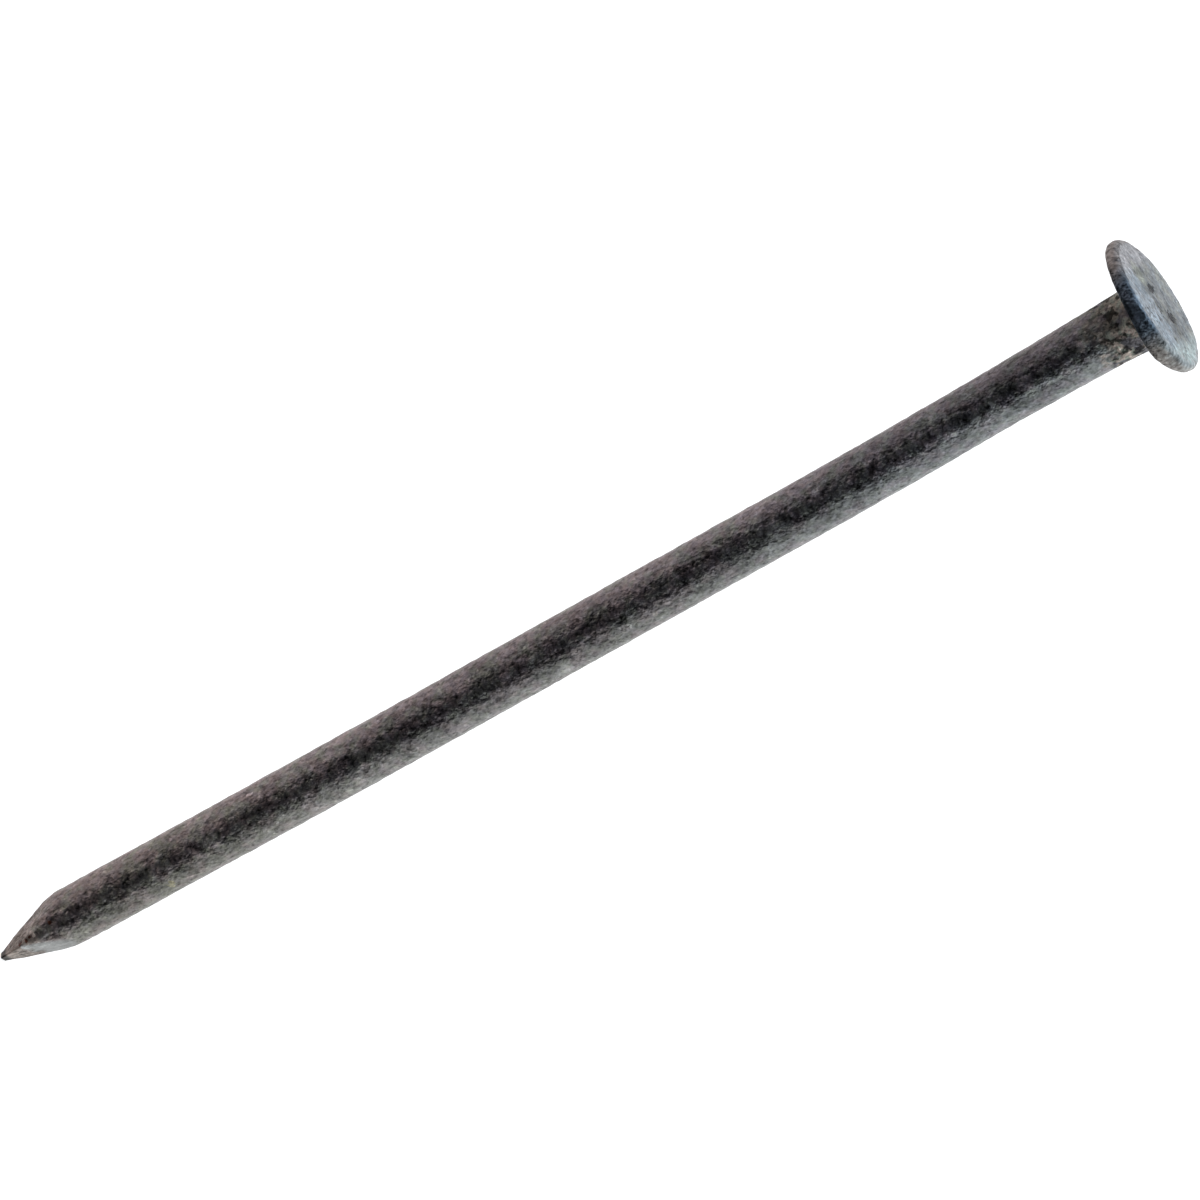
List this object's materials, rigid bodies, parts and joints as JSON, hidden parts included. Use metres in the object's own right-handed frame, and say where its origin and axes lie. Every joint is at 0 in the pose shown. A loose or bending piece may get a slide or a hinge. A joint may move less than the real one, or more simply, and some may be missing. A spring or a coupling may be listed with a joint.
{
  "type": "wire nail",
  "caption": "Galvanised steel wire nail with a large flat round head, a plain round shank and a four-sided diamond point.",
  "frame": {"origin": "on the nail's axis, in the plane of the finished seat under the head", "axes": "+Z along the nail's axis, out through the head, so the point is at -Z; the long ridges of the point are on the X sides and the gripper marks are on the Y sides"},
  "size_m": [0.0082, 0.0082, 0.0759],
  "materials": {
    "zinc": "hot-dip galvanised, dull mottled grey zinc with dark specks, paler on the head",
    "steel": "bare low-carbon steel, darkened, seen only at the end of the point"
  },
  "bodies": {
    "root": {"galvanised_coating": "zinc", "steel_nail": "steel"}
  },
  "joints": []
}
